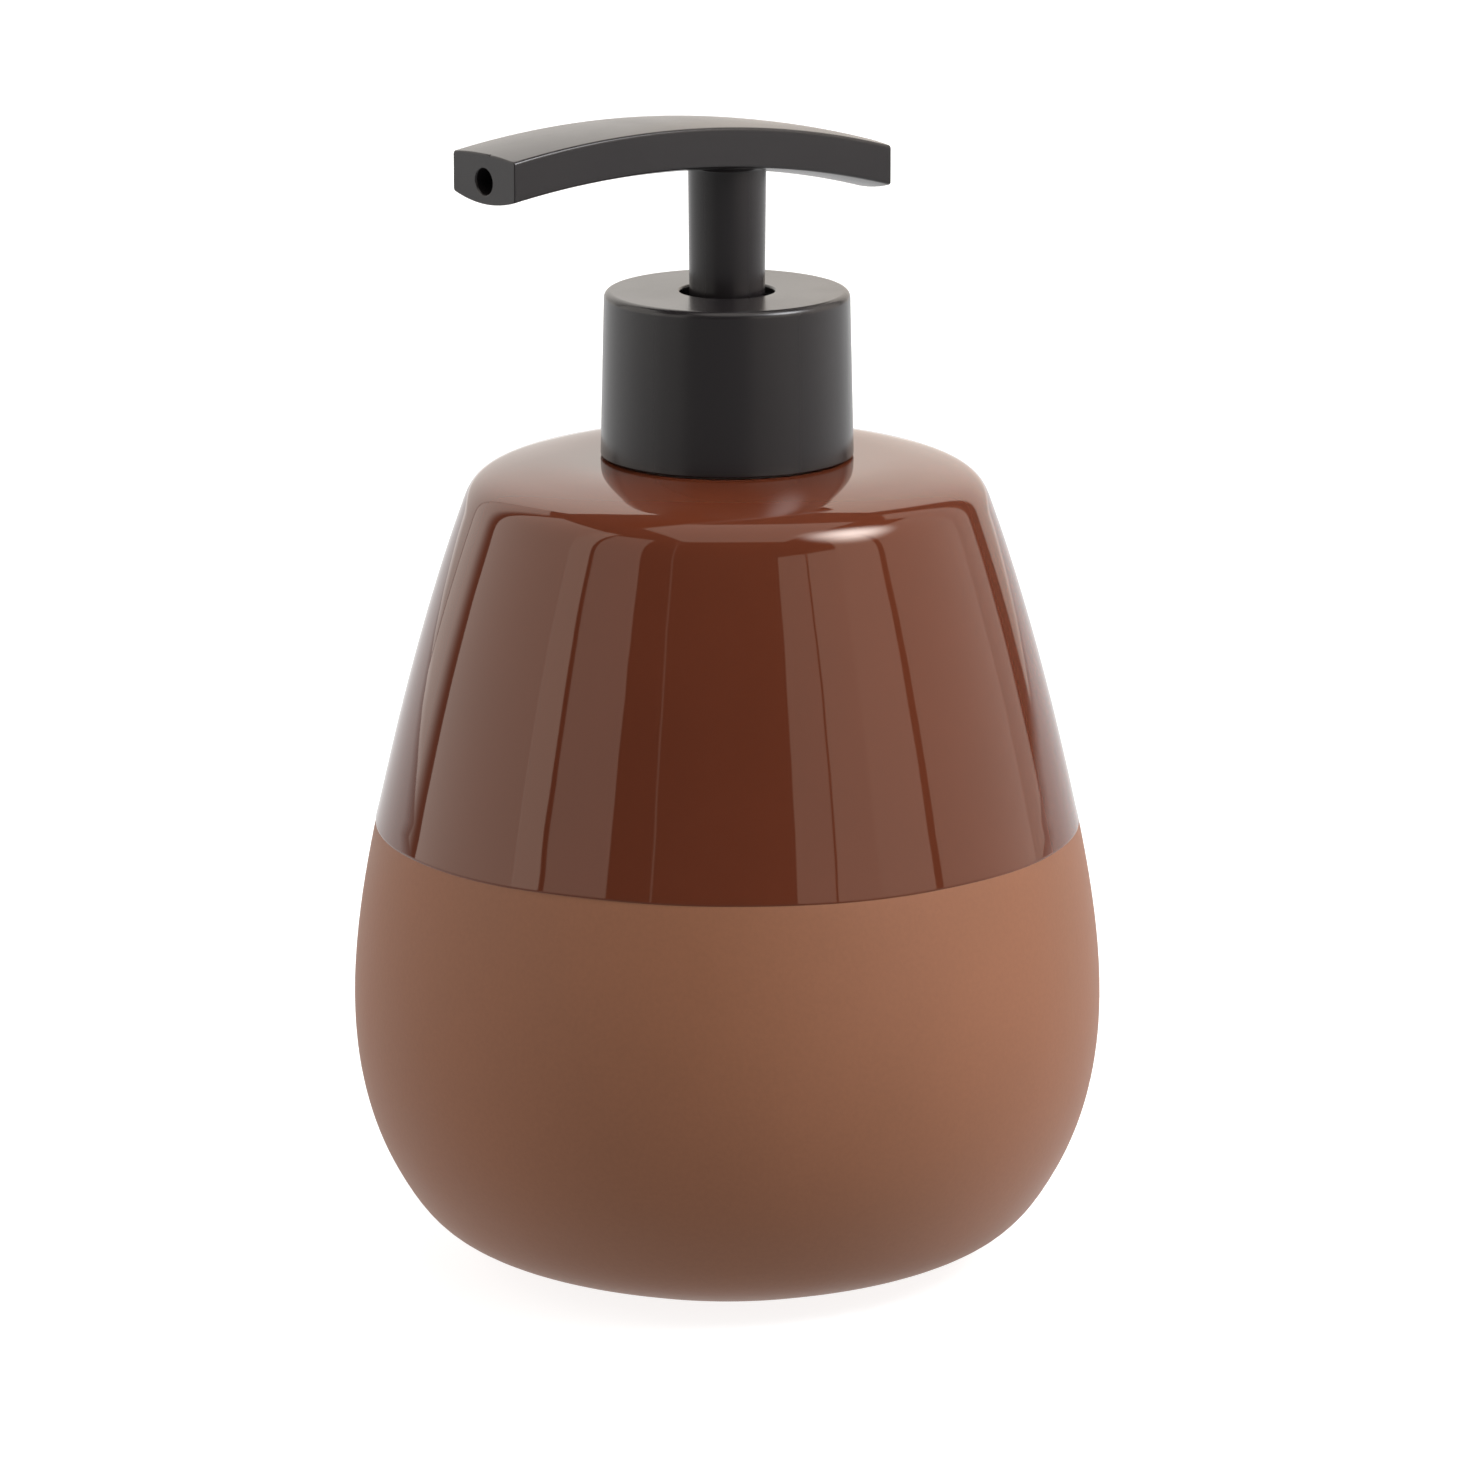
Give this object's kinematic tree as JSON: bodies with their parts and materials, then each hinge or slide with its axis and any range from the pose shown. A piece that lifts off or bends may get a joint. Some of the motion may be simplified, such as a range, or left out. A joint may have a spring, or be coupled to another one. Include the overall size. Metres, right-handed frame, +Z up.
{
  "type": "soap pump dispenser",
  "caption": "Squat bellied ceramic bottle, glossy glaze above a matt terracotta base, with a black screw-on lotion pump and an arched press bar.",
  "frame": {"origin": "the bottle's axis, on the surface that it stands on", "axes": "+Z up along the bottle's and the pump's axis; -X along the spout at rest"},
  "size_m": [0.1, 0.1, 0.155],
  "materials": {
    "clay": "smooth matt unglazed terracotta",
    "glaze": "high-gloss red-brown glaze",
    "black_plastic": "fine satin moulded black",
    "natural_plastic": "uncoloured polypropylene",
    "clear_tube": "uncoloured polyethylene tube",
    "steel": "bright drawn stainless steel",
    "rubber": "soft black seal",
    "foam": "white closed-cell foam washer",
    "silicone": "cured silicone adhesive"
  },
  "bodies": {
    "bottle_body": {"bottle": "clay", "glaze_coat": "glaze", "insert_adhesive": "silicone", "neck_insert": "natural_plastic"},
    "pump_core": {"neck_gasket": "foam", "pump_housing": "natural_plastic", "stem_guide": "black_plastic", "stem_wiper": "rubber", "ball_cage": "natural_plastic", "dip_tube": "clear_tube", "return_spring": "steel"},
    "closure": {"collar_shell": "black_plastic", "threaded_closure": "black_plastic"},
    "plunger": {"piston_seat": "natural_plastic"},
    "piston": {"piston": "natural_plastic"},
    "head": {"piston_stem": "natural_plastic", "head_sleeve": "black_plastic", "nozzle_bar": "black_plastic"},
    "inlet_ball": {"inlet_ball": "steel"}
  },
  "joints": [
    {"name": "pump_lift", "type": "slide", "parent": "bottle_body", "child": "pump_core", "axis": [0, 0, 1], "range_m": [0, 0.00529]},
    {"name": "closure_turn", "type": "hinge", "parent": "pump_core", "child": "closure", "pos_m": [0, 0, 0.12], "axis": [0, 0, 1], "range_deg": [0, 450]},
    {"name": "head_press", "type": "slide", "parent": "pump_core", "child": "plunger", "axis": [0, 0, -1], "range_m": [0, 0.0125], "stiffness_N_per_m": 600, "springref_m": -0.015, "deforming": ["return_spring"]},
    {"name": "head_turn", "type": "hinge", "parent": "plunger", "child": "head", "pos_m": [0, 0, 0.15], "axis": [0, 0, 1], "continuous": true},
    {"name": "piston_float", "type": "slide", "parent": "plunger", "child": "piston", "axis": [0, 0, 1], "range_m": [0, 0.0012]},
    {"name": "ball_lift", "type": "slide", "parent": "pump_core", "child": "inlet_ball", "axis": [0, 0, 1], "range_m": [0, 0.0015]}
  ],
  "couplings": [
    {"joint": "closure_turn", "follows": "pump_lift", "rad_per_m": 1485.4}
  ]
}
